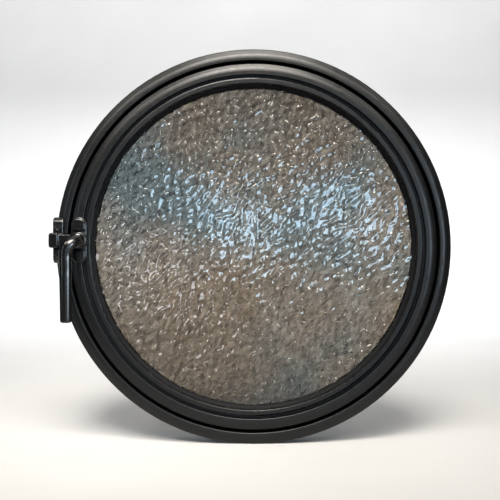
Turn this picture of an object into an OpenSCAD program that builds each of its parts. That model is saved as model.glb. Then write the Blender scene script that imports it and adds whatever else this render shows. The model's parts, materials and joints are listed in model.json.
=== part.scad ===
// Round side-hung window with one clear ripple-glass pane, cam handle and outside hinge.
// X runs to the right as seen from the room, Y runs from the room to the outside, Z is up.
// The origin is on the window's axis, halfway through the fixed frame's depth.

/* [Fixed frame] */
// Outer diameter of the fixed frame, which is the size of the hole in the wall
frame_d = 500; // [380:1:700]
// Depth of the fixed frame from its room face to its outside face
frame_depth = 38; // [34:0.5:60]
// Width of the fixed frame's face
frame_face = 14.6; // [13:0.1:24]
// How far the frame's face falls away from its crest to its outer edge
frame_fall = 4.2; // [2:0.1:6]
// Width of the flat crest along the frame's inner edge
frame_crest = 6; // [4:0.1:8]
// Wall thickness of the hollow aluminium sections
wall = 2; // [1.4:0.1:2.6]
// Thickness of the sections' outside walls, which carry the seal and the hinge screws
outside_wall = 3.5; // [3:0.1:5]
// Radius of the fixing holes through the frame
fixing_hole_r = 3; // [2:0.1:3.5]
// How far the fixing holes lie behind the frame's room face
fixing_hole_y = 13; // [12:0.5:16]
// Number of fixing holes around the frame
fixing_holes = 6; // [3:1:12]

/* [Sash] */
// Gap between the fixed frame and the sash
sash_gap = 3.4; // [3.2:0.1:5]
// Width of the sash's face
sash_face = 14.5; // [13:0.1:22]
// How far the sash's face falls away from its crest to its outer edge
sash_fall = 3.4; // [1.5:0.1:5]
// Width of the flat crest along the sash's inner edge
sash_crest = 7.3; // [5:0.1:9]
// How far the sash stands out from the frame towards the room
sash_proud = 1; // [0:0.5:3]
// How far the sash's outside flange overlaps the frame
flange_lap = 4.6; // [4:0.1:6]
// Thickness of the outside flange
flange_t = 5; // [4:0.1:8]
// Gap between the frame's outside face and the flange
flange_gap = 3; // [2.5:0.1:4]

/* [Glazing] */
// Thickness of the ripple glass
glass_t = 5; // [4:0.5:8]
// How far the glass lies behind the frame's room face
glass_y = 19; // [17:0.5:22]
// Gap between the sash and the edge of the glass, filled by the setting blocks
glass_edge_gap = 5.5; // [4:0.1:7]
// Groove between the sash and the glazing bead
bead_groove = 3; // [2:0.1:4]
// Width of the glazing bead's face
bead_face = 7.5; // [6:0.1:12]
// How far the bead's face lies behind the sash's face
bead_recess = 2.5; // [1:0.1:4]
// Wall thickness of the glazing bead
bead_wall = 1.6; // [1.2:0.1:2]
// How far the gaskets and the sash's outside lip reach in past the bead
gasket_reach = 3.8; // [2.5:0.1:6]
// Thickness of the outside glazing gasket
outer_gasket_t = 2.5; // [1.5:0.1:4]

/* [Hinge] */
// Radius of the hinge knuckles
knuckle_r = 4.5; // [4:0.1:5]
// Radius of the hinge pin
hinge_pin_r = 2.5; // [2:0.1:2.8]
// Length of the whole hinge barrel
hinge_length = 60; // [45:1:62]
// Length of the sash's middle knuckle
middle_knuckle = 20; // [14:1:24]
// Thickness of both hinge leaves
leaf_t = 3; // [2.5:0.1:4]

/* [Handle] */
// Height of the handle's spindle above the window's centre
latch_z = 9; // [-20:1:20]
// Distance of the handle's spindle out from the sash's inner edge
spindle_out = 2; // [1.5:0.1:3]
// Width of the handle's base
base_w = 19.6; // [18:0.1:20.5]
// Length of the handle's base
base_l = 58; // [54:0.5:66]
// Thickness of the base plate
base_t = 5; // [4:0.1:6]
// Radius of the round hub
hub_r = 9.5; // [8.5:0.1:10]
// Radius of the spindle
spindle_r = 4; // [3:0.1:4.5]
// How far the tongue's tip reaches past the keeper's outer side
tongue_overhang = 3.7; // [2:0.1:5]
// Thickness of the tongue
tongue_t = 8; // [6:0.1:9]
// Height of the tongue's head
head_h = 18.4; // [14:0.1:19]
// Distance from the spindle down to the lever's lower end
lever_l = 101; // [80:1:130]
// Distance of the lever's middle line from the frame's room face
lever_out = 36; // [34:0.5:40]
// Width of the lever at its lower end
lever_w = 13; // [11:0.1:15]

/* [Keeper] */
// Length of the keeper block
keeper_l = 58; // [54:0.5:64]
// Width of the keeper block
keeper_w = 13; // [11:0.1:14]
// Gap between the keeper block and the tongue that passes over it
keeper_clear = 0.5; // [0.4:0.1:2]
// Distance between the keeper's two screws
keeper_screws_apart = 34; // [30:0.5:40]
// Length of the pad that the tongue presses on
pad_l = 18; // [14:0.5:20]

/* [Clearances] */
// Gap between two parts that move past each other
moving_gap = 0.3; // [0.2:0.05:0.5]
// Radial clearance of a turning pin
running_gap = 0.05; // [0.02:0.01:0.1]
// Radial clearance of a pin or screw that stays fixed
fixed_gap = 0.02; // [0.01:0.01:0.05]

/* [Hidden] */
$fn = 64;
ring_fn = 240;
overcut = 1;

// Radii of the rings, from the outside in
frame_r = frame_d / 2;
frame_in = frame_r - frame_face;
sash_r = frame_in - sash_gap;
sash_in = sash_r - sash_face;
bead_r = sash_in - bead_groove;
bead_in = bead_r - bead_face;
lip_in = bead_in - gasket_reach;
glass_r = sash_in - glass_edge_gap;
flange_r = frame_in + flange_lap;

// Depths along the window's axis, from the room to the outside
room_y = -frame_depth / 2;
back_y = frame_depth / 2;
frame_edge_y = room_y + frame_fall;
sash_y = room_y - sash_proud;
bead_y = sash_y + bead_recess;
glass_front = room_y + glass_y;
glass_back = glass_front + glass_t;
lip_y = glass_back + outer_gasket_t;
flange_y = back_y + flange_gap;
outside_y = flange_y + flange_t;

// How far what is fixed to the frame stays inside the frame's outer cylinder
side_inset = 0.8;

// Small rounds on the sections' edges
edge_r = 1;
crest_blend = 12;
outer_edge_r = 2;

// Seals
seal_bulb_r = 1.5;
seal_foot = 1.4;
seal_r = frame_in + flange_lap / 2 + 0.3;
sash_seal_y = back_y - 3;

// Hinge axis, outside the frame and inside the frame's outer radius
hinge_x = frame_r - knuckle_r - 2;
hinge_y = outside_y + knuckle_r + moving_gap;
knuckle_gap = 1;
washer_t = 0.8;
leaf_screw_r = 2;
leaf_screw_head_r = 3.7;
leaf_screw_l = 11;
frame_leaf_in = flange_r + 1;
frame_leaf_out = frame_r - side_inset;
frame_leaf_screw_r = (frame_leaf_in + frame_leaf_out) / 2;
frame_leaf_half_turn = 12;
frame_leaf_screw_turns = [-10, 10, -5.2, 5.2];
sash_leaf_out = hinge_x - knuckle_r - 0.5;
sash_leaf_in = sash_leaf_out - 16;
sash_leaf_screw_r = sash_leaf_out - 9;
sash_leaf_half_turn = 7;
sash_leaf_screw_turns = [-5, 0, 5];

// Handle: depths from the sash's face towards the room
spindle_x = -(sash_in + spindle_out);
base_top = sash_y - base_t;
hub_top = base_top - 5.5;
washer_h = 1;
tongue_y = hub_top - washer_h;
tongue_top = tongue_y - tongue_t;
head_top = tongue_top - 1.2;
hub_cap_y = tongue_y - 10;
bush_wall = 1.2;
clip_pocket = 3;
clip_t = 0.8;
clip_y = sash_y - clip_pocket + moving_gap;
spindle_groove = 0.6;
spindle_end = sash_y - 0.5;
spindle_top = tongue_y - 7.5;
lever_y = room_y - lever_out;
handle_screw_x = spindle_x - 1.5;
handle_screw_out = 21;
handle_screw_r = 2;
handle_screw_head_r = 3.6;
handle_screw_head_t = 2.6;
handle_screw_l = 14;
cap_start = 12.6;
cap_t = 4.5;
cap_inset = 1.4;

// Keeper, set so that its outer side hangs just past the frame's outer edge
keeper_x = -(frame_in + 2.4);
keeper_top = tongue_y + keeper_clear;
tongue_reach = spindle_x - keeper_x + keeper_w + tongue_overhang;
keeper_screw_x = keeper_x - keeper_w / 2;
keeper_screw_r = 2;
keeper_screw_head_r = 3.7;
keeper_screw_l = 24;
pad_t = 3.2;
pad_top = tongue_y + moving_gap;

function unit(v) = v / norm(v);

// ---- Shared shapes -------------------------------------------------------

// What is left between a corner and its round: taken off a polygon, it rounds that corner.
module corner_waste(before, corner, after, radius) {
    u = unit(before - corner);
    v = unit(after - corner);
    half = acos(u * v) / 2;
    centre = corner + unit(u + v) * radius / sin(half);
    start = corner + u * radius / tan(half);
    finish = corner + v * radius / tan(half);
    past = 1.5;
    difference() {
        polygon([
            centre,
            centre + (start - centre) * past,
            centre + (corner - centre) * past,
            centre + (finish - centre) * past
        ]);
        translate(centre) circle(r = radius);
    }
}

// A polygon whose outward corners are rounded, each to its own radius, or left sharp at 0
module rounded(points, radii) {
    count = len(points);
    difference() {
        polygon(points);
        for (i = [0 : count - 1])
            if (radii[i] > 0)
                corner_waste(
                    points[(i + count - 1) % count], points[i], points[(i + 1) % count], radii[i]
                );
    }
}

// A rectangle given by its least and greatest corners
module box2(low, high) {
    translate(low) square(high - low);
}

// Turns a section drawn as [radius, depth] about the window's axis
module ring() {
    rotate([-90, 0, 0]) rotate_extrude($fn = ring_fn) children();
}

// The same over an arc, given by its middle and half its turn, counted from +X towards +Z
module ring_arc(middle, half_turn) {
    rotate([-90, 0, 0])
        rotate([0, 0, -middle - half_turn])
            rotate_extrude(angle = 2 * half_turn, $fn = ring_fn) children();
}

// Extrudes an outline drawn in X and Z between two depths
module slab(far_y, near_y) {
    translate([0, far_y, 0]) rotate([90, 0, 0]) linear_extrude(far_y - near_y) children();
}

// Extrudes an outline drawn in Y and Z between two places along X
module beam(low_x, high_x) {
    translate([low_x, 0, 0])
        rotate([90, 0, 90]) linear_extrude(high_x - low_x) children();
}

// A round bar along Y
module y_bar(x, z, far_y, near_y, r) {
    slab(far_y, near_y) translate([x, z]) circle(r = r);
}

// A round bar along Z
module z_bar(x, y, low_z, high_z, r) {
    translate([x, y, low_z]) cylinder(h = high_z - low_z, r = r);
}

// An upright shape with two half-round ends
module stadium(w, l) {
    for (end = [-1, 1])
        translate([0, end * (l - w) / 2]) circle(d = w);
    square([w, l - w], center = true);
}

// A countersunk screw that points along +Z with its flat top at the origin
module countersunk(r, head_r, l, grow = 0) {
    head_t = head_r - r;
    union() {
        cylinder(h = head_t, r1 = head_r + grow, r2 = r + grow);
        cylinder(h = l, r = r + grow);
    }
}

// The cross-shaped recess in a screw's head
module cross_recess(size, depth) {
    for (turn = [0, 90])
        rotate([0, 0, turn])
            cube([size, size / 4, 2 * depth], center = true);
}

// ---- Sections ------------------------------------------------------------

module frame_outline() {
    rounded(
        [
            [frame_in, room_y], [frame_in + frame_crest, room_y], [frame_r, frame_edge_y],
            [frame_r, back_y], [frame_in, back_y]
        ],
        [edge_r, crest_blend, outer_edge_r, edge_r / 2, edge_r / 2]
    );
}

module frame_chamber() {
    polygon([
        [frame_in + wall, room_y + wall],
        [frame_in + frame_crest - wall / 4, room_y + wall],
        [frame_r - wall, frame_edge_y + wall / 2],
        [frame_r - wall, back_y - outside_wall],
        [frame_in + wall, back_y - outside_wall]
    ]);
}

module frame_seal_groove() {
    box2(
        [seal_r - seal_foot / 2 - 0.2, back_y - seal_foot],
        [seal_r + seal_foot / 2 + 0.2, back_y + overcut]
    );
}

module sash_outline() {
    rounded(
        [
            [sash_in, sash_y], [sash_in + sash_crest, sash_y], [sash_r, sash_y + sash_fall],
            [sash_r, flange_y], [flange_r, flange_y], [flange_r, outside_y],
            [sash_in + 4.5, outside_y], [lip_in, lip_y + 5], [lip_in, lip_y], [sash_in, lip_y]
        ],
        [edge_r, crest_blend, outer_edge_r, 0, edge_r / 2, 1.5, crest_blend, 2, edge_r / 2, 0]
    );
}

// Two closed chambers, with a web between them that backs the glass
module sash_chambers() {
    outer = sash_r - wall - 0.5;
    box2([sash_in + wall, sash_y + sash_fall + wall / 2], [outer, lip_y - wall]);
    slope = [sash_in + 4.5 - lip_in, outside_y - lip_y - 5];
    shift = wall * norm(slope) / slope[1];
    low = lip_y + wall;
    high = outside_y - wall;
    polygon([
        [lip_in + (low - lip_y - 5) * slope[0] / slope[1] + shift + 3, low],
        [outer, low],
        [outer, high],
        [lip_in + (high - lip_y - 5) * slope[0] / slope[1] + shift, high]
    ]);
}

module sash_seal_groove() {
    box2(
        [sash_r - seal_foot, sash_seal_y - 1.2],
        [sash_r + overcut, sash_seal_y + 1.2]
    );
}

// The ledge that the glazing bead rests on, and the nib that it snaps behind
module bead_catch() {
    ledge_y = bead_y + 10.5;
    box2([sash_in - 2, ledge_y], [sash_in + wall / 2, ledge_y + 1.5]);
    box2([sash_in - 0.5, ledge_y - 5.1], [sash_in + wall / 2, ledge_y - 4.2]);
}

// ---- Fixed frame ---------------------------------------------------------

module frame_ring() {
    color("#17181a")
        difference() {
            ring() difference() {
                frame_outline();
                frame_chamber();
                frame_seal_groove();
            }
            fixing_hole_cuts();
            keeper_screw_cuts(fixed_gap);
            frame_leaf_screw_cuts(fixed_gap);
        }
}

module fixing_hole_cuts() {
    for (i = [0 : fixing_holes - 1])
        rotate([0, i * 360 / fixing_holes, 0])
            translate([0, room_y + fixing_hole_y, frame_in - overcut])
                cylinder(h = frame_face + 2 * overcut, r = fixing_hole_r);
}

module frame_seal() {
    color("#0b0b0c")
        ring() {
            translate([seal_r, back_y + seal_bulb_r - 0.3]) circle(r = seal_bulb_r);
            box2(
                [seal_r - seal_foot / 2, back_y - seal_foot],
                [seal_r + seal_foot / 2, back_y + 0.5]
            );
        }
}

// ---- Keeper on the fixed frame -------------------------------------------

// Both of the keeper's screws, or the places for them
module at_keeper_screws() {
    for (end = [-1, 1])
        translate([keeper_screw_x, keeper_top, latch_z + end * keeper_screws_apart / 2])
            rotate([-90, 0, 0]) children();
}

module keeper_screw_cuts(grow) {
    at_keeper_screws() countersunk(keeper_screw_r, keeper_screw_head_r, keeper_screw_l + 1, grow);
}

module keeper_plan() {
    translate([keeper_x - keeper_w, latch_z - keeper_l / 2])
        rounded(
            [[0, 0], [keeper_w, 0], [keeper_w, keeper_l], [0, keeper_l]],
            [2, 2, 2, 2]
        );
}

// Seen along X: a block whose upper and lower ends are rounded towards the room
module keeper_side() {
    end_r = 8;
    foot_y = frame_edge_y + 1;
    translate([0, latch_z - keeper_l / 2])
        rounded(
            [[keeper_top, 0], [foot_y, 0], [foot_y, keeper_l], [keeper_top, keeper_l]],
            [end_r, 0, 0, end_r]
        );
}

module keeper_block() {
    color("#1c1c1e")
        difference() {
            intersection() {
                union() {
                    slab(room_y, keeper_top) keeper_plan();
                    intersection() {
                        slab(frame_edge_y, room_y - overcut) keeper_plan();
                        y_bar(
                            0, 0, frame_edge_y, room_y - overcut, frame_r - side_inset,
                            $fn = ring_fn
                        );
                    }
                }
                beam(keeper_x - keeper_w - overcut, keeper_x + overcut) keeper_side();
            }
            ring() frame_outline();
            keeper_screw_cuts(fixed_gap);
            slab(pad_top + pad_t, keeper_top - overcut) pad_plan(fixed_gap);
        }
}

module pad_plan(grow) {
    translate([keeper_screw_x, latch_z])
        square([keeper_w - 3 + 2 * grow, pad_l + 2 * grow], center = true);
}

module keeper_pad() {
    color("#2a2a2c") slab(pad_top + pad_t, pad_top) pad_plan(0);
}

module keeper_screws() {
    color("#26272a")
        at_keeper_screws()
            difference() {
                countersunk(keeper_screw_r, keeper_screw_head_r, keeper_screw_l);
                cross_recess(3.6, 1.3);
            }
}

// ---- Hinge on the outside ------------------------------------------------

module at_frame_leaf_screws() {
    for (turn = frame_leaf_screw_turns)
        rotate([0, -turn, 0])
            translate([frame_leaf_screw_r, back_y + leaf_t, 0])
                rotate([90, 0, 0]) children();
}

module frame_leaf_screw_cuts(grow) {
    at_frame_leaf_screws() countersunk(leaf_screw_r, leaf_screw_head_r, leaf_screw_l + 1, grow);
}

// Half of the barrel that each of the frame's two knuckles takes
module at_frame_knuckles() {
    for (side = [0, 1])
        mirror([0, 0, side])
            translate([0, 0, middle_knuckle / 2 + knuckle_gap]) children();
}

module hinge_frame_leaf() {
    knuckle_l = (hinge_length - middle_knuckle) / 2 - knuckle_gap;
    color("#1a1b1d")
        difference() {
            union() {
                ring_arc(0, frame_leaf_half_turn)
                    box2([frame_leaf_in, back_y], [frame_leaf_out, back_y + leaf_t]);
                at_frame_knuckles() {
                    z_bar(hinge_x, hinge_y, 0, knuckle_l, knuckle_r);
                    translate([frame_leaf_in + 0.2, back_y + leaf_t - 0.5, 0])
                        cube([
                            hinge_x - frame_leaf_in + 1.8,
                            hinge_y - back_y - leaf_t + 0.5,
                            knuckle_l
                        ]);
                }
            }
            z_bar(hinge_x, hinge_y, -hinge_length, hinge_length, hinge_pin_r + fixed_gap);
            frame_leaf_screw_cuts(fixed_gap);
        }
}

module hinge_frame_screws() {
    color("#b9bcc0")
        at_frame_leaf_screws()
            difference() {
                countersunk(leaf_screw_r, leaf_screw_head_r, leaf_screw_l);
                cross_recess(3.6, 1.3);
            }
}

module hinge_pin() {
    head_t = 1.5;
    color("#c3c6c9")
        union() {
            z_bar(hinge_x, hinge_y, -hinge_length / 2 - 1, hinge_length / 2, hinge_pin_r);
            z_bar(hinge_x, hinge_y, hinge_length / 2, hinge_length / 2 + head_t, knuckle_r - 0.9);
        }
}

module hinge_washers() {
    rest = (knuckle_gap - washer_t) / 2;
    color("#d8d8d2")
        at_frame_knuckles()
            translate([0, 0, -washer_t - rest])
                difference() {
                    z_bar(hinge_x, hinge_y, 0, washer_t, knuckle_r);
                    z_bar(
                        hinge_x, hinge_y, -overcut, washer_t + overcut, hinge_pin_r + 2 * running_gap
                    );
                }
}

module at_sash_leaf_screws() {
    for (turn = sash_leaf_screw_turns)
        rotate([0, -turn, 0])
            translate([sash_leaf_screw_r, outside_y + leaf_t, 0])
                rotate([90, 0, 0]) children();
}

module sash_leaf_screw_cuts(grow) {
    at_sash_leaf_screws() countersunk(leaf_screw_r, leaf_screw_head_r, leaf_screw_l + 1, grow);
}

module hinge_sash_leaf() {
    stem_w = hinge_x - sash_leaf_out + 2.5;
    color("#1a1b1d")
        difference() {
            union() {
                ring_arc(0, sash_leaf_half_turn)
                    box2([sash_leaf_in, outside_y], [sash_leaf_out, outside_y + leaf_t]);
                z_bar(hinge_x, hinge_y, -middle_knuckle / 2, middle_knuckle / 2, knuckle_r);
                translate([sash_leaf_out - 2.5, outside_y, -middle_knuckle / 2])
                    cube([stem_w, hinge_y - outside_y, middle_knuckle]);
            }
            z_bar(hinge_x, hinge_y, -hinge_length, hinge_length, hinge_pin_r + running_gap);
            sash_leaf_screw_cuts(fixed_gap);
        }
}

module hinge_sash_screws() {
    color("#b9bcc0")
        at_sash_leaf_screws()
            difference() {
                countersunk(leaf_screw_r, leaf_screw_head_r, leaf_screw_l);
                cross_recess(3.6, 1.3);
            }
}

// ---- Sash and glazing ----------------------------------------------------

module sash_ring() {
    color("#17181a")
        difference() {
            ring() {
                difference() {
                    sash_outline();
                    sash_chambers();
                    sash_seal_groove();
                }
                bead_catch();
            }
            sash_leaf_screw_cuts(fixed_gap);
            handle_screw_cuts(fixed_gap);
        }
}

module sash_seal() {
    color("#0b0b0c")
        ring() {
            translate([sash_r + seal_bulb_r - 0.6, sash_seal_y]) circle(r = seal_bulb_r);
            box2([sash_r - seal_foot, sash_seal_y - 1], [sash_r + 0.4, sash_seal_y + 1]);
        }
}

module glass_pane() {
    color("#9aa3a3", 0.5) y_bar(0, 0, glass_back, glass_front, glass_r, $fn = ring_fn);
}

module outer_gasket() {
    color("#0b0b0c")
        ring() box2([lip_in + 0.5, glass_back], [glass_r, lip_y]);
}

module inner_gasket() {
    bead_back = bead_y + 12.5;
    color("#0b0b0c")
        ring()
            polygon([
                [lip_in, glass_front], [lip_in + 0.4, glass_front - 1.2],
                [bead_in + 0.4, bead_back], [bead_r - 1, bead_back], [bead_r - 1, glass_front]
            ]);
}

module glazing_bead() {
    bead_back = bead_y + 12.5;
    foot_y = bead_y + 6.5;
    foot_t = 4;
    color("#17181a")
        ring() {
            difference() {
                rounded(
                    [[bead_in, bead_y], [bead_r, bead_y], [bead_r, bead_back], [bead_in, bead_back]],
                    [edge_r, 2.2, 0, 0]
                );
                box2(
                    [bead_in + bead_wall, bead_y + bead_wall + 0.4],
                    [bead_r - bead_wall, bead_back + overcut]
                );
            }
            box2([bead_r - bead_wall / 2, foot_y], [sash_in - fixed_gap, foot_y + foot_t]);
        }
}

module setting_blocks() {
    color("#3b3f45")
        for (turn = [25, 155, 245, 295])
            ring_arc(turn, 4)
                box2([glass_r, glass_front + 0.3], [sash_in - fixed_gap, glass_back - 0.3]);
}

// ---- Handle on the sash --------------------------------------------------

module at_handle_screws() {
    for (end = [-1, 1])
        translate([handle_screw_x, base_top - handle_screw_head_t, latch_z + end * handle_screw_out])
            rotate([-90, 0, 0]) children();
}

// A pan-head screw, or the space that it needs
module pan_screw(grow) {
    union() {
        cylinder(h = handle_screw_head_t, r = handle_screw_head_r + grow);
        cylinder(h = handle_screw_l + grow, r = handle_screw_r + grow);
    }
}

module handle_screw_cuts(grow) {
    at_handle_screws() cylinder(h = handle_screw_l + 1, r = handle_screw_r + grow);
}

module base_plan(inset = 0) {
    translate([spindle_x, latch_z]) stadium(base_w - 2 * inset, base_l - 2 * inset);
}

module foot_section() {
    start = sash_in + sash_crest;
    finish = sash_r - 0.5;
    slope = sash_fall / (sash_r - start);
    polygon([
        [start, sash_y - overcut], [finish, sash_y - overcut],
        [finish, sash_y + (finish - start) * slope], [start, sash_y]
    ]);
}

module handle_base() {
    bearing_r = spindle_r + running_gap + bush_wall;
    color("#1c1c1e")
        difference() {
            union() {
                slab(sash_y, base_top) base_plan();
                // The foot fills the hollow between the flat base and the sash's falling face
                intersection() {
                    slab(sash_y + sash_fall, sash_y - overcut) base_plan();
                    ring() foot_section();
                }
                y_bar(spindle_x, latch_z, base_top, hub_top, hub_r + 1);
            }
            y_bar(spindle_x, latch_z, sash_y + overcut, hub_top - overcut, bearing_r);
            y_bar(spindle_x, latch_z, sash_y + overcut, sash_y - clip_pocket, bearing_r + 2);
            handle_screw_cuts(fixed_gap);
        }
}

module handle_bush() {
    color("#b08d4f")
        difference() {
            y_bar(
                spindle_x, latch_z, sash_y - clip_pocket, hub_top, spindle_r + running_gap + bush_wall
            );
            y_bar(spindle_x, latch_z, sash_y, hub_top - overcut, spindle_r + running_gap);
        }
}

module handle_screws() {
    color("#b9bcc0")
        at_handle_screws()
            difference() {
                pan_screw(0);
                cross_recess(3.6, 1.3);
            }
}

// Both end covers, which hide the screws, with their outer ends rounded towards the room
module handle_caps() {
    reach = base_l / 2 - cap_inset;
    color("#1c1c1e")
        for (side = [0, 1])
            translate([0, 0, latch_z]) mirror([0, 0, side]) translate([0, 0, -latch_z])
                difference() {
                    intersection() {
                        slab(base_top, base_top - cap_t) base_plan(cap_inset);
                        beam(spindle_x - base_w, spindle_x + base_w)
                            translate([0, latch_z])
                                rounded(
                                    [
                                        [base_top - cap_t, cap_start], [base_top + 1, cap_start],
                                        [base_top + 1, reach + 1], [base_top - cap_t, reach + 1]
                                    ],
                                    [1, 0, 0, 4]
                                );
                    }
                    translate([handle_screw_x, base_top, latch_z + handle_screw_out])
                        rotate([90, 0, 0])
                            translate([0, 0, -overcut])
                                cylinder(
                                    h = handle_screw_head_t + moving_gap + overcut,
                                    r = handle_screw_head_r + moving_gap
                                );
                }
}

module handle_washer() {
    color("#d8d8d2")
        difference() {
            y_bar(spindle_x, latch_z, hub_top - running_gap, tongue_y, hub_r - 0.5);
            y_bar(
                spindle_x, latch_z, hub_top + overcut, tongue_y - overcut, spindle_r + running_gap
            );
        }
}

module handle_spindle() {
    color("#8f9398")
        difference() {
            y_bar(spindle_x, latch_z, spindle_end, spindle_top, spindle_r);
            difference() {
                y_bar(
                    spindle_x, latch_z, clip_y + clip_t + 0.05, clip_y - 0.05, spindle_r + 1
                );
                y_bar(
                    spindle_x, latch_z, clip_y + 2 * clip_t, clip_y - clip_t,
                    spindle_r - spindle_groove
                );
            }
        }
}

module handle_clip() {
    color("#8f9398")
        difference() {
            y_bar(spindle_x, latch_z, clip_y + clip_t, clip_y, spindle_r + 2);
            y_bar(
                spindle_x, latch_z, clip_y + 2 * clip_t, clip_y - clip_t,
                spindle_r - spindle_groove + fixed_gap
            );
        }
}

// A rounded pebble, the building block of the lever's neck and grip
module pebble(x, y, z, w, t, h) {
    translate([x, y, z]) scale([w / 2, t / 2, h / 2]) sphere(r = 1, $fn = 32);
}

// The neck leaves the tongue, turns down and runs out into the grip
module lever_grip() {
    neck_x = spindle_x - 11;
    grip_x = neck_x - 1;
    end_z = latch_z - lever_l;
    hull() {
        pebble(neck_x, tongue_y - 4.2, latch_z, 17, 8, 14);
        pebble(neck_x, lever_y + 9, latch_z - 0.5, 17, 12, 14);
    }
    hull() {
        pebble(neck_x, lever_y + 9, latch_z - 0.5, 17, 12, 14);
        pebble(neck_x, lever_y + 2.5, latch_z - 6, 17, 12.5, 15);
    }
    hull() {
        pebble(neck_x, lever_y + 2.5, latch_z - 6, 17, 12.5, 15);
        pebble(grip_x, lever_y, latch_z - 26, 15.6, 11.5, 20);
    }
    hull() {
        pebble(grip_x, lever_y, latch_z - 26, 15.6, 11.5, 20);
        pebble(grip_x, lever_y, end_z + 5, lever_w, 9.5, 10);
    }
}

module tongue_plan() {
    head_w = 12;
    bar_h = 15;
    tip = -tongue_reach;
    translate([spindle_x, latch_z]) {
        circle(r = hub_r);
        box2([tip + head_w / 2, -bar_h / 2], [0, bar_h / 2]);
        head_plan(tip, head_w);
    }
}

module head_plan(tip, head_w) {
    rounded(
        [
            [tip, -head_h / 2], [tip + head_w, -head_h / 2],
            [tip + head_w, head_h / 2], [tip, head_h / 2]
        ],
        [3, 1.5, 1.5, 3.5]
    );
}

module handle_lever() {
    color("#161618")
        difference() {
            union() {
                slab(tongue_y, tongue_top) tongue_plan();
                slab(tongue_y, head_top) translate([spindle_x, latch_z]) head_plan(-tongue_reach, 12);
                y_bar(spindle_x, latch_z, tongue_y, hub_cap_y, hub_r);
                lever_grip();
            }
            y_bar(
                spindle_x, latch_z, tongue_y + overcut, spindle_top - 0.3, spindle_r + fixed_gap
            );
        }
}

frame_ring();
frame_seal();
keeper_block();
keeper_pad();
keeper_screws();
hinge_frame_leaf();
hinge_frame_screws();
hinge_pin();
hinge_washers();
sash_ring();
sash_seal();
glass_pane();
outer_gasket();
inner_gasket();
glazing_bead();
setting_blocks();
hinge_sash_leaf();
hinge_sash_screws();
handle_base();
handle_bush();
handle_screws();
handle_caps();
handle_lever();
handle_spindle();
handle_washer();
handle_clip();
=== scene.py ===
import json
import math

import bpy
import numpy as np
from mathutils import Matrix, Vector


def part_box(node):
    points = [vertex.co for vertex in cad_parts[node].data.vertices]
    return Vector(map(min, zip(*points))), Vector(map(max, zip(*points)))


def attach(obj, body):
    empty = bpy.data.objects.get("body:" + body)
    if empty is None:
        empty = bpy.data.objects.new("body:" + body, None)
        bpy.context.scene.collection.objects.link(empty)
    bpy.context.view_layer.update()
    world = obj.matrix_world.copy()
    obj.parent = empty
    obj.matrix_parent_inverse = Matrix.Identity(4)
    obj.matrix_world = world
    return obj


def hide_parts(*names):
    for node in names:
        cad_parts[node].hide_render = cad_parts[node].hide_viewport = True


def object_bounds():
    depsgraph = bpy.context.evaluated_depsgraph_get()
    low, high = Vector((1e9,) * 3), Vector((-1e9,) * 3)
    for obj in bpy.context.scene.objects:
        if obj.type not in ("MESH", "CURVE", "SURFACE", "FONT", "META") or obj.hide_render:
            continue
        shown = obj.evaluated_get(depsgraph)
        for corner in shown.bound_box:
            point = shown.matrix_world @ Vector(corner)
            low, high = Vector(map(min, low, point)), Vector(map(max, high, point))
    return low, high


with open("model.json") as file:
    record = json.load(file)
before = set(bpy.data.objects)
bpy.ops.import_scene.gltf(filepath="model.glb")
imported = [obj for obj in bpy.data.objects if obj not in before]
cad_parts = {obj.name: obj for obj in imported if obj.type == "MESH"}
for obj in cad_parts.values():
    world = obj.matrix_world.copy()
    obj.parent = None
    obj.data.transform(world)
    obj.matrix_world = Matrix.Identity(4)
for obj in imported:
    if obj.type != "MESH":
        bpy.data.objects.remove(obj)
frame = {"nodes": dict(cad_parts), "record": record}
cad_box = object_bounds()

MM = 0.001

# The direction across the grain of the glass, from the x axis: the grain runs from lower left to upper
# right, in the ripples and in the material
RIPPLE_GRAIN = math.radians(-32)


# ---- Objects and meshes ----------------------------------------------------

def add_object(name, data):
    """An object in the scene for a mesh, a light or a camera."""
    thing = bpy.data.objects.new(name, data)
    bpy.context.collection.objects.link(thing)
    return thing


def shade_smooth(mesh):
    """Smooth shading on every face."""
    for poly in mesh.polygons:
        poly.use_smooth = True


def add_piece(name, mesh, slot, body, node):
    """A piece with the look of its slot that rides on a body and stands for a CAD node."""
    piece = add_object(name, mesh)
    mesh.materials.clear()
    mesh.materials.append(LOOKS[slot])
    shade_smooth(mesh)
    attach(piece, body)
    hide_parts(node)
    return piece


# ---- Materials -------------------------------------------------------------

def new_material(name, **values):
    """A Principled material with the given socket values, and its node tree."""
    mat = bpy.data.materials.new(name)
    mat.use_nodes = True
    tree = mat.node_tree
    shader = tree.nodes["Principled BSDF"]
    for key, value in values.items():
        shader.inputs[key.replace("_", " ")].default_value = value
    return mat, tree, shader


def grey(value):
    """A neutral colour."""
    return (value, value, value)


def noise_node(tree, scale, detail):
    """3-D noise in object space, in cycles per metre."""
    coords = tree.nodes.new("ShaderNodeTexCoord")
    tex = tree.nodes.new("ShaderNodeTexNoise")
    tex.inputs["Scale"].default_value = scale
    tex.inputs["Detail"].default_value = detail
    tree.links.new(coords.outputs["Object"], tex.inputs["Vector"])
    return tex.outputs["Fac"]


def ramp_node(tree, source, stops, socket=None):
    """Maps a 0 to 1 value through colour stops [(position, colour), ...] and feeds a socket, if given."""
    ramp = tree.nodes.new("ShaderNodeValToRGB")
    elements = ramp.color_ramp.elements
    while len(elements) < len(stops):
        elements.new(0.5)
    for element, (position, colour) in zip(elements, stops):
        element.position = position
        element.color = (*colour, 1.0)
    tree.links.new(source, ramp.inputs["Fac"])
    if socket is not None:
        tree.links.new(ramp.outputs["Color"], socket)
    return ramp.outputs["Color"]


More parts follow.
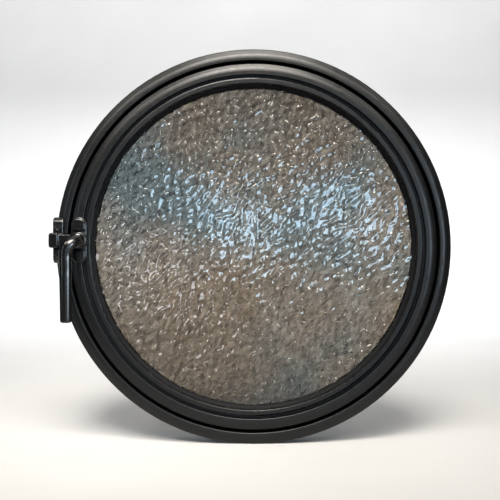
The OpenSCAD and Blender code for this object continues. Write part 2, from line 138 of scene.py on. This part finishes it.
def add_bump(tree, shader, source, strength, distance):
    """Raises the surface by a 0 to 1 value; the distance is in metres."""
    bump = tree.nodes.new("ShaderNodeBump")
    bump.inputs["Strength"].default_value = strength
    bump.inputs["Distance"].default_value = distance
    tree.links.new(source, bump.inputs["Height"])
    tree.links.new(bump.outputs["Normal"], shader.inputs["Normal"])


def coated_metal(name, dark, light, roughness, specular, peel_scale):
    """Satin powder coat: a fine orange-peel skin with slightly uneven colour and gloss."""
    mat, tree, shader = new_material(name, Metallic=0.0, Specular_IOR_Level=specular)
    clouds = noise_node(tree, scale=45, detail=3)
    ramp_node(tree, clouds, [(0.3, dark), (0.7, light)], shader.inputs["Base Color"])
    gloss = noise_node(tree, scale=140, detail=2)
    smoothest, roughest = roughness
    ramp_node(tree, gloss, [(0.3, grey(smoothest)), (0.7, grey(roughest))], shader.inputs["Roughness"])
    peel = noise_node(tree, peel_scale, detail=2)
    add_bump(tree, shader, peel, strength=0.12, distance=0.03 * MM)
    return mat


def bare_metal(name, dark, light, roughness):
    """Plated, blackened or plain metal: a fine grain in its colour, its gloss and its skin."""
    mat, tree, shader = new_material(name, Metallic=1.0)
    grain = noise_node(tree, scale=300, detail=4)
    ramp_node(tree, grain, [(0.3, dark), (0.7, light)], shader.inputs["Base Color"])
    smoothest, roughest = roughness * 0.8, roughness * 1.25
    ramp_node(tree, grain, [(0.2, grey(smoothest)), (0.8, grey(roughest))], shader.inputs["Roughness"])
    add_bump(tree, shader, grain, strength=0.2, distance=0.03 * MM)
    return mat


def plain_skin(name, dark, light, roughness, specular):
    """Rubber or plastic: nearly even colour with a fine matt skin."""
    mat, tree, shader = new_material(name, Roughness=roughness, Specular_IOR_Level=specular)
    grain = noise_node(tree, scale=400, detail=3)
    ramp_node(tree, grain, [(0.3, dark), (0.7, light)], shader.inputs["Base Color"])
    add_bump(tree, shader, grain, strength=0.4, distance=0.04 * MM)
    return mat


def painted_light_lean_node(tree, towards, gain, extra):
    """How far the surface leans one way, times a gain, plus an extra value; it drives the painted light
    and shade in the glass's colour.
    """
    coords = tree.nodes.new("ShaderNodeTexCoord")
    lean = tree.nodes.new("ShaderNodeVectorMath")
    lean.operation = "DOT_PRODUCT"
    lean.inputs[1].default_value = Vector(towards).normalized()
    tree.links.new(coords.outputs["Normal"], lean.inputs[0])
    scaled = tree.nodes.new("ShaderNodeMath")
    scaled.operation = "MULTIPLY_ADD"
    scaled.inputs[1].default_value = gain
    tree.links.new(lean.outputs["Value"], scaled.inputs[0])
    tree.links.new(extra, scaled.inputs[2])
    return scaled.outputs["Value"]


def grain_noise(tree, across, along, detail):
    """Noise drawn out along the grain of the glass, with the sizes of its cells in metres."""
    coords = tree.nodes.new("ShaderNodeTexCoord")
    turned = tree.nodes.new("ShaderNodeMapping")
    turned.inputs["Rotation"].default_value = (0, RIPPLE_GRAIN, 0)
    stretched = tree.nodes.new("ShaderNodeMapping")
    stretched.inputs["Scale"].default_value = (1 / across, 1 / across, 1 / along)
    tex = tree.nodes.new("ShaderNodeTexNoise")
    tex.inputs["Scale"].default_value = 1.0
    tex.inputs["Detail"].default_value = detail
    tree.links.new(coords.outputs["Object"], turned.inputs["Vector"])
    tree.links.new(turned.outputs["Vector"], stretched.inputs["Vector"])
    tree.links.new(stretched.outputs["Vector"], tex.inputs["Vector"])
    return tex.outputs["Fac"]


def multiplied(tree, first, second, socket):
    """Feeds a socket with the product of two colours."""
    both = tree.nodes.new("ShaderNodeMix")
    both.data_type = "RGBA"
    both.blend_type = "MULTIPLY"
    both.inputs["Factor"].default_value = 1.0
    first_colour, second_colour, result = both.inputs[6], both.inputs[7], both.outputs[2]
    tree.links.new(first, first_colour)
    tree.links.new(second, second_colour)
    tree.links.new(result, socket)


def ripple_glass():
    """Tinted clear glass with fine dimples; its colour holds painted shade and painted light, dark on one
    side of each ripple and bright on the other, and painted thin dark lines along the ripples.
    """
    mat, tree, shader = new_material("ripple_glass", Roughness=0.02, IOR=1.5, Transmission_Weight=1.0)
    teal, neutral, brown = (0.64, 0.84, 0.94), (0.98, 0.94, 0.87), (1.0, 0.85, 0.70)
    clouds = noise_node(tree, scale=5, detail=2)
    tint = ramp_node(tree, clouds, [(0.38, teal), (0.5, neutral), (0.62, brown)])
    # Painted shade: thin dark lines where the noise crosses its middle value, standing in for the dark
    # edges that deep ripples show by refraction
    swirls = grain_noise(tree, across=7.5 * MM, along=16 * MM, detail=3)
    painted_outline_shade = ramp_node(tree, swirls, [
        (0.28, grey(0.62)), (0.42, grey(0.54)), (0.470, grey(0.48)), (0.49, grey(0.16)),
        (0.510, grey(0.44)), (0.60, grey(0.54)), (0.74, grey(0.66)),
    ])
    # Painted light and shade: the colour is lighter where a ripple leans up and to the right and darker
    # where it leans away, standing in for light through the glass
    lean = painted_light_lean_node(tree, towards=(0.5, 0.0, 0.85), gain=3.6, extra=painted_outline_shade)
    # From painted deep shade to a painted highlight
    painted_light_and_shade = ramp_node(tree, lean, [
        (0.12, (0.012, 0.011, 0.010)), (0.34, (0.075, 0.070, 0.064)), (0.5, (0.17, 0.16, 0.145)),
        (0.66, (0.29, 0.28, 0.26)), (0.90, (0.68, 0.68, 0.68)),
    ])
    multiplied(tree, painted_light_and_shade, tint, shader.inputs["Base Color"])
    cells = grain_noise(tree, across=4 * MM, along=6.5 * MM, detail=1)
    dimples = ramp_node(tree, cells, [(0.60, grey(0)), (0.80, grey(1))])
    add_bump(tree, shader, dimples, strength=0.6, distance=1.4 * MM)
    return mat


# The look of each material slot of the record
LOOKS = {
    "black_frame": coated_metal(
        "frame_coat", dark=(0.0012, 0.0013, 0.0014), light=(0.0020, 0.0021, 0.0023),
        roughness=(0.30, 0.37), specular=0.30, peel_scale=1100
    ),
    "black_hardware": coated_metal(
        "cast_coat", dark=(0.0010, 0.0010, 0.0011), light=(0.0017, 0.0017, 0.0018),
        roughness=(0.20, 0.25), specular=0.48, peel_scale=900
    ),
    "black_screw": bare_metal(
        "black_screw", dark=(0.02, 0.02, 0.022), light=(0.05, 0.05, 0.053), roughness=0.34
    ),
    "steel": bare_metal(
        "steel", dark=(0.52, 0.53, 0.55), light=(0.66, 0.67, 0.69), roughness=0.28
    ),
    "bronze": bare_metal(
        "bronze", dark=(0.42, 0.28, 0.13), light=(0.55, 0.38, 0.19), roughness=0.4
    ),
    "black_rubber": plain_skin(
        "rubber", dark=(0.004, 0.004, 0.0045), light=(0.007, 0.007, 0.0075), roughness=0.62, specular=0.08
    ),
    "dark_plastic": plain_skin(
        "dark_plastic", dark=(0.016, 0.016, 0.017), light=(0.024, 0.024, 0.025),
        roughness=0.45, specular=0.5
    ),
    "nylon": plain_skin(
        "nylon", dark=(0.66, 0.65, 0.60), light=(0.74, 0.73, 0.69), roughness=0.4, specular=0.5
    ),
    "ripple_glass": ripple_glass(),
}


def record_slot(node):
    """The record's material slot of a CAD node."""
    return next(part["material_slot"] for part in frame["record"]["subparts"] if part["node"] == node)


def finish_cad_nodes():
    """Gives every CAD node the look of its slot."""
    for part in frame["record"]["subparts"]:
        for material_slot in frame["nodes"][part["node"]].material_slots:
            material_slot.material = LOOKS[part["material_slot"]]


# ---- Ripple glass ----------------------------------------------------------

RIPPLE_SEED = 41
RIPPLE_WAVES = 70
RIPPLE_SHORTEST, RIPPLE_LONGEST = 7 * MM, 16 * MM
# Root mean square slope of the ripples, and how far the waves' directions scatter
RIPPLE_SLOPE = 0.05
RIPPLE_SPREAD = math.radians(30)
RIPPLE_DEPTH = 0.7 * MM
# The ripples fade out over this width, towards the edge that the gasket covers
RIPPLE_FADE = 2 * MM
# From the outside of the glazing bead to the edge of the ripples, under the gasket
BEAD_TO_RIPPLES = 9.5 * MM
PANE_CELLS = 300


def ripple_height(x, z):
    """Height of the ripples at points of the pane: many crossing waves, most of them across the grain."""
    rng = np.random.default_rng(RIPPLE_SEED)
    height = np.zeros_like(x)
    steepness = RIPPLE_SLOPE * math.sqrt(2 / RIPPLE_WAVES)
    for _ in range(RIPPLE_WAVES):
        length = RIPPLE_SHORTEST * (RIPPLE_LONGEST / RIPPLE_SHORTEST) ** rng.random()
        way = RIPPLE_GRAIN + RIPPLE_SPREAD * rng.standard_normal()
        number = 2 * math.pi / length
        phase = number * (x * math.cos(way) + z * math.sin(way)) + 2 * math.pi * rng.random()
        height += steepness / number * np.sin(phase)
    return np.clip(height, -RIPPLE_DEPTH, RIPPLE_DEPTH)


def disc_grid(cells, radius):
    """Points of a square grid bent into a disc with no pinch at its middle, as x and z arrays."""
    line = np.linspace(-1, 1, cells + 1)
    a, b = np.meshgrid(line, line)
    wide = np.abs(a) > np.abs(b)
    reach = np.where(wide, a, b)
    share = np.divide(np.where(wide, b, a), reach, out=np.zeros_like(a), where=reach != 0)
    turn = math.pi / 4 * share
    x = np.where(wide, reach * np.cos(turn), reach * np.sin(turn))
    z = np.where(wide, reach * np.sin(turn), reach * np.cos(turn))
    return radius * x, radius * z


def grid_faces(cells):
    """The quads of a square grid whose points are numbered row by row."""
    row = cells + 1
    corners = [j * row + i for j in range(cells) for i in range(cells)]
    return [(k, k + 1, k + row + 1, k + row) for k in corners]


def grid_edge(cells):
    """The points around a square grid, in order."""
    row = cells + 1
    bottom = list(range(cells))
    right = [j * row + cells for j in range(cells)]
    top = [cells * row + i for i in range(cells, 0, -1)]
    left = [j * row for j in range(cells, 0, -1)]
    return bottom + right + top + left


def ripple_pane():
    """The glass: rippled towards the room, flat outside and under the gaskets."""
    (x0, y0, _), (x1, y1, _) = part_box("glass_pane")
    rim = (x1 - x0) / 2
    bead_low, bead_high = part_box("glazing_bead")
    clear = (bead_high[0] - bead_low[0]) / 2 - BEAD_TO_RIPPLES
    x, z = disc_grid(PANE_CELLS, clear)
    fade = np.clip((clear - np.hypot(x, z)) / RIPPLE_FADE, 0, 1)
    flat_y = y0 + RIPPLE_DEPTH
    y = flat_y - ripple_height(x, z) * fade
    verts = list(zip(x.ravel(), y.ravel(), z.ravel()))
    faces = grid_faces(PANE_CELLS)
    inner = grid_edge(PANE_CELLS)
    turns = [math.atan2(verts[v][2], verts[v][0]) for v in inner]
    for depth in (flat_y, y1):
        outer = list(range(len(verts), len(verts) + len(turns)))
        verts += [(rim * math.cos(turn), depth, rim * math.sin(turn)) for turn in turns]
        for i in range(len(turns)):
            k = (i + 1) % len(turns)
            faces.append((inner[k], inner[i], outer[i], outer[k]))
        inner = outer
    back = tuple(reversed(inner))
    mesh = bpy.data.meshes.new("ripple_pane")
    mesh.from_pydata(verts, [], faces + [back])
    pane = add_piece("ripple_pane", mesh, "ripple_glass", "sash", "glass_pane")
    pane.data.polygons[len(faces)].use_smooth = False


# ---- Castings --------------------------------------------------------------

def loft(rings):
    """Joins rings of equally many points into one closed body, with flat ends."""
    size = len(rings[0])
    verts = [p for ring in rings for p in ring]
    faces = [tuple(range(size))[::-1]]
    for r in range(len(rings) - 1):
        for i in range(size):
            k = (i + 1) % size
            faces.append((r * size + i, r * size + k, (r + 1) * size + k, (r + 1) * size + i))
    faces.append(tuple(range((len(rings) - 1) * size, len(rings) * size)))
    return verts, faces


def bevelled(y0, y1, bevel):
    """Depths of the four rings of a bar along y with bevelled ends, each with how far it draws in."""
    return ((y0, bevel), (y0 + bevel, 0), (y1 - bevel, 0), (y1, bevel))


def rounded_block(low, high, radii, y0, y1, bevel):
    """A closed block between two depths, with corners rounded in x and z and bevelled ends."""
    steps = 8
    points = [Vector(low), Vector((high[0], low[1])), Vector(high), Vector((low[0], high[1]))]
    outline = []
    for i, corner in enumerate(points):
        before = (points[i - 1] - corner).normalized()
        after = (points[(i + 1) % len(points)] - corner).normalized()
        half = before.angle(after) / 2
        middle = corner + (before + after).normalized() * radii[i] / math.sin(half)
        first = corner + before * radii[i] / math.tan(half) - middle
        last = corner + after * radii[i] / math.tan(half) - middle
        for k in range(steps + 1):
            way = first.lerp(last, k / steps).normalized()
            outline.append(middle + way * radii[i])
    centre = sum(outline, Vector((0, 0))) / len(outline)
    rings = []
    for depth, inset in bevelled(y0, y1, bevel):
        ring = [p - (p - centre).normalized() * inset for p in outline]
        rings.append([(p.x, depth, p.y) for p in ring])
    return loft(rings)


def round_bar(x, z, radius, y0, y1, bevel):
    """A closed round bar along y with bevelled ends."""
    sides = 96
    turns = [2 * math.pi * i / sides for i in range(sides)]
    rings = []
    for depth, inset in bevelled(y0, y1, bevel):
        r = radius - inset
        rings.append([(x + r * math.cos(t), depth, z + r * math.sin(t)) for t in turns])
    return loft(rings)


def grip_line(hub_x, neck_x, grip_x, start_y, top_z, lever_y, end_z):
    """The lever's middle line: out of the hub, over to the neck in one bend, then down the grip."""
    lean_y = lever_y + 2 * MM
    first_z = top_z - 19 * MM
    # The bend is a Bezier curve: its start, the two corners that pull it, and its end
    corners = [
        Vector((hub_x, start_y, top_z)), Vector((hub_x - 1 * MM, lean_y - 1 * MM, top_z + 1 * MM)),
        Vector((neck_x, lean_y - 0.5 * MM, top_z - 3 * MM)), Vector((neck_x, lean_y, first_z))
    ]
    bend_steps, grip_steps = 32, 60
    line = []
    for i in range(bend_steps + 1):
        t = i / bend_steps
        shares = ((1 - t) ** 3, 3 * t * (1 - t) ** 2, 3 * t * t * (1 - t), t ** 3)
        line.append(sum((c * s for c, s in zip(corners, shares)), Vector((0, 0, 0))))
    # The grip eases over to its final place in x and y over its first third
    ease_rate = 3.2
    for i in range(1, grip_steps + 1):
        share = i / grip_steps
        ease = min(1, share * ease_rate)
        ease = ease * ease * (3 - 2 * ease)
        line.append(Vector((
            neck_x + (grip_x - neck_x) * ease, lean_y + (lever_y - lean_y) * ease,
            first_z + (end_z - first_z) * share
        )))
    return line


def sweep_marks(total, end_round):
    """Distances along a swept bar at which it has a ring, closer together at its rounded end."""
    steps, even_steps = 90, 86
    even = [total * i / steps for i in range(even_steps + 1)]
    end = [total - end_round * share for share in (0.8, 0.6, 0.4, 0.2, 0.08, 0)]
    return sorted(even + end)


def bar_ring(place, tangent, half_width, half_thick):
    """A ring with soft corners across a bar that runs along the tangent."""
    sides, power = 72, 2.1
    side = Vector((1, 0, 0))
    side = (side - tangent * side.dot(tangent)).normalized()
    normal = tangent.cross(side)
    ring = []
    for i in range(sides):
        c, s = math.cos(2 * math.pi * i / sides), math.sin(2 * math.pi * i / sides)
        across = math.copysign(abs(c) ** (2 / power), c) * half_width
        deep = math.copysign(abs(s) ** (2 / power), s) * half_thick
        ring.append(tuple(place + side * across + normal * deep))
    return ring


def grip_sweep(line, top, bottom, end_round):
    """A soft-cornered bar along the line: (width, thickness) runs from top to bottom, then rounds off."""
    lengths = [0.0]
    for before, after in zip(line, line[1:]):
        lengths.append(lengths[-1] + (after - before).length)
    total = lengths[-1]
    last = len(line) - 1
    rings = []
    for mark in sweep_marks(total, end_round):
        k = min(max(1, sum(1 for value in lengths if value < mark)), last)
        share = (mark - lengths[k - 1]) / (lengths[k] - lengths[k - 1])
        place = line[k - 1].lerp(line[k], share)
        tangent = (line[min(k + 1, last)] - line[max(k - 2, 0)]).normalized()
        along = mark / total
        inset = end_round - math.sqrt(max(0, end_round ** 2 - max(0, mark - total + end_round) ** 2))
        width = (top[0] + (bottom[0] - top[0]) * along) / 2 - inset
        thick = (top[1] + (bottom[1] - top[1]) * along) / 2 - inset
        rings.append(bar_ring(place, tangent, width, thick))
    return loft(rings)


def fused_piece(name, bodies, slot, body, node, voxel, rounds):
    """Melts overlapping closed bodies into one smooth casting that stands for a CAD node."""
    verts, faces = [], []
    for more_verts, more_faces in bodies:
        start = len(verts)
        verts += [tuple(v) for v in more_verts]
        faces += [tuple(i + start for i in face) for face in more_faces]
    rough = bpy.data.meshes.new(name + "_rough")
    rough.from_pydata(verts, [], faces)
    carrier = add_object(name + "_rough", rough)
    remesh = carrier.modifiers.new("melt", "REMESH")
    remesh.mode = "VOXEL"
    remesh.voxel_size = voxel
    smooth = carrier.modifiers.new("soften", "SMOOTH")
    smooth.factor = 0.5
    smooth.iterations = rounds
    graph = bpy.context.evaluated_depsgraph_get()
    mesh = bpy.data.meshes.new_from_object(carrier.evaluated_get(graph))
    bpy.data.objects.remove(carrier)
    bpy.data.meshes.remove(rough)
    add_piece(name, mesh, slot, body, node)


def softened(node, body):
    """A casting with its machined edges softened, in place of its CAD node."""
    shape = frame["nodes"][node].data
    shell = ([v.co for v in shape.vertices], [tuple(f.vertices) for f in shape.polygons])
    fused_piece(node + "_cast", [shell], record_slot(node), body, node, voxel=0.45 * MM, rounds=26)


def cast_lever():
    """The handle's lever as one casting: tongue and head, hub, elbow and grip."""
    (x0, y0, z0), (x1, foot_y, z1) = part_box("handle_lever")
    (hub_x0, _, hub_z0), (hub_x1, _, hub_z1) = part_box("handle_washer")
    axis_x, axis_z = (hub_x0 + hub_x1) / 2, (hub_z0 + hub_z1) / 2
    tongue_x0, tongue_half, tongue_t = x0 + 4 * MM, 7.5 * MM, 8 * MM
    tongue = rounded_block(
        (tongue_x0, axis_z - tongue_half), (axis_x, axis_z + tongue_half),
        [1 * MM] * 4, foot_y - tongue_t, foot_y, bevel=1.2 * MM
    )
    head_w, head_half, head_t = 12 * MM, z1 - axis_z, 9.2 * MM
    head = rounded_block(
        (x0, axis_z - head_half), (x0 + head_w, axis_z + head_half),
        [3.2 * MM, 1.5 * MM, 1.5 * MM, 3.2 * MM], foot_y - head_t, foot_y, bevel=1.3 * MM
    )
    hub_r, hub_t = x1 - axis_x, 10 * MM
    hub = round_bar(axis_x, axis_z, hub_r, foot_y - hub_t, foot_y, bevel=1.4 * MM)
    neck_x = axis_x - 11 * MM
    line = grip_line(
        hub_x=axis_x, neck_x=neck_x, grip_x=neck_x + 0.4 * MM,
        start_y=foot_y - 4 * MM, top_z=axis_z, lever_y=y0 + 6.2 * MM, end_z=z0
    )
    grip = grip_sweep(line, top=(17.4 * MM, 13.2 * MM), bottom=(14 * MM, 10.4 * MM), end_round=2.6 * MM)
    bodies = [tongue, head, hub, grip]
    fused_piece(
        "cast_lever", bodies, "black_hardware", "handle", "handle_lever", voxel=0.55 * MM, rounds=10
    )


# ---- Stage, lights, camera -------------------------------------------------

STAGE_HALF_WIDTH = 4.5
STAGE_FRONT_Y = -3.5
STAGE_WALL_HEIGHT = 4.5
# How far behind the window the wall stands, and the radius of the bend at its foot
WALL_GAP, WALL_BEND = 2.2, 0.8


def build_stage():
    """A pale sweep: floor under the window, rising behind it."""
    floor_z = cad_box[0][2]
    wall_y = cad_box[1][1] + WALL_GAP
    profile = [(STAGE_FRONT_Y, floor_z), (wall_y - WALL_BEND, floor_z)]
    steps = 24
    for i in range(1, steps + 1):
        a = i / steps * math.pi / 2
        profile.append((
            wall_y - WALL_BEND + WALL_BEND * math.sin(a), floor_z + WALL_BEND * (1 - math.cos(a))
        ))
    profile.append((wall_y, floor_z + STAGE_WALL_HEIGHT))
    verts = [(x, y, z) for y, z in profile for x in (-STAGE_HALF_WIDTH, STAGE_HALF_WIDTH)]
    faces = [(2 * i, 2 * i + 1, 2 * i + 3, 2 * i + 2) for i in range(len(profile) - 1)]
    mesh = bpy.data.meshes.new("sweep")
    mesh.from_pydata(verts, [], faces)
    shade_smooth(mesh)
    mat, tree, shader = new_material("pale_sweep", Roughness=0.8)
    grain = noise_node(tree, scale=3, detail=2)
    ramp_node(tree, grain, [(0.3, grey(0.41)), (0.7, grey(0.44))], shader.inputs["Base Color"])
    mesh.materials.append(mat)
    add_object("sweep", mesh)


def area_light(name, place, aim, size, brightness, colour, spread):
    """A soft panel of a given brightness; a narrower spread keeps its light on what it is aimed at."""
    half = math.radians(spread / 2)
    cone = 2 * math.pi * (
        math.sin(half) ** 2 / 2 - (half / 2 - math.sin(2 * half) / 4) / math.tan(half)
    )
    data = bpy.data.lights.new(name, "AREA")
    data.shape = "RECTANGLE"
    data.size, data.size_y = size
    data.spread = 2 * half
    data.energy = brightness * size[0] * size[1] * cone
    data.color = colour
    light = add_object(name, data)
    light.location = place
    light.rotation_euler = (Vector(aim) - Vector(place)).to_track_quat("-Z", "Y").to_euler()
    light.visible_camera = False


WORLD_STRENGTH = 0.06
CENTRE = (0, 0, 0)
WHITE, WARM = (1, 1, 1), (1.0, 0.95, 0.87)
COOL, SKY, HAZE = (0.74, 0.88, 1.0), (0.55, 0.79, 1.0), (0.9, 0.93, 1.0)

# Name, place, what it is aimed at, size, brightness, colour, spread in degrees
LAMPS = (
    # The broad highlights over the top of the rings
    ("top_soft", (0.0, -1.15, 1.6), CENTRE, (1.0, 0.65), 54, WARM, 54),
    ("front_soft", (0.0, -1.6, 1.05), CENTRE, (0.9, 0.60), 16, WARM, 60),
    ("shoulder_soft_1", (-1.1, -1.2, 1.25), CENTRE, (0.5, 0.5), 17, WARM, 70),
    ("shoulder_soft_3", (1.1, -1.2, 1.25), CENTRE, (0.5, 0.5), 13, WARM, 70),
    # The edges of the rings at the left, the long streak on the grip, and the elbow
    ("left_soft", (-1.6, -1.2, 0.25), CENTRE, (0.3, 0.9), 5, COOL, 70),
    ("right_soft", (0.75, -1.45, 0.04), (-0.2, 0, -0.03), (0.66, 0.56), 34, COOL, 30),
    ("handle_soft", (-0.30, -1.35, 1.20), (-0.23, -0.05, 0), (0.45, 0.42), 66, WARM, 30),
    # Small cool panels in front of the glass, for its glints
    ("window_right", (0.32, -2.0, 0.08), CENTRE, (0.24, 0.18), 16, SKY, 60),
    ("window_left", (-0.065, -2.0, 0.045), CENTRE, (0.18, 0.18), 16, SKY, 60),
    ("window_low", (-0.33, -2.0, -0.14), CENTRE, (0.14, 0.12), 11, HAZE, 60),
    # The pale floor and the wall behind
    ("floor_soft", (0.0, 0.0, 2.6), (0, 0.2, -0.25), (2.5, 1.5), 0.9, WHITE, 110),
    ("wall_soft", (0.0, 1.2, 3.0), (0, 2.3, 0.2), (3.5, 1.2), 42, WHITE, 80),
)


def build_lights():
    """Soft panels above, in front and at both sides, over a dim even background."""
    for lamp in LAMPS:
        area_light(*lamp)
    world = bpy.data.worlds.new("studio")
    bpy.context.scene.world = world
    world.use_nodes = True
    background = world.node_tree.nodes["Background"]
    background.inputs["Color"].default_value = (*HAZE, 1)
    background.inputs["Strength"].default_value = WORLD_STRENGTH
    bpy.context.scene.view_settings.view_transform = "Standard"


# Where the frame's outer circle sits in a square picture 500 units wide
PICTURE = 500
CIRCLE_X, CIRCLE_Y, CIRCLE_R = 253.65, 246.55, 197.4
# How far the outer circle's edge lies behind the frame's room face
FRAME_FALL = 4.2 * MM
CAMERA_DISTANCE = 1.15
CAMERA_ELEVATION = math.radians(1.0)
SENSOR_WIDTH = 36


def build_camera():
    """Looks at the middle of the frame's outer circle from straight in front and a little above."""
    low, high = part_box("frame_ring")
    radius = (high[0] - low[0]) / 2
    data = bpy.data.cameras.new("camera")
    camera = add_object("camera", data)
    centre = Vector((0, low[1] + FRAME_FALL, 0))
    direction = Vector((0, math.cos(CAMERA_ELEVATION), -math.sin(CAMERA_ELEVATION)))
    camera.location = centre - direction * CAMERA_DISTANCE
    camera.rotation_euler = direction.to_track_quat("-Z", "Y").to_euler()
    data.sensor_width = SENSOR_WIDTH
    data.lens = SENSOR_WIDTH * CAMERA_DISTANCE * CIRCLE_R / (radius * PICTURE)
    # Seen from above, the circle's nearer top looks larger, which lifts the middle of its outline
    lift = CIRCLE_R * radius / CAMERA_DISTANCE * math.sin(CAMERA_ELEVATION)
    data.shift_x = -(CIRCLE_X - PICTURE / 2) / PICTURE
    data.shift_y = (CIRCLE_Y + lift - PICTURE / 2) / PICTURE
    data.clip_start = 0.01
    bpy.context.scene.camera = camera


finish_cad_nodes()
ripple_pane()
cast_lever()
for cast_node, cast_body in (("handle_base", "sash"), ("handle_caps", "sash"), ("keeper_block", "frame")):
    softened(cast_node, cast_body)
build_stage()
build_lights()
build_camera()
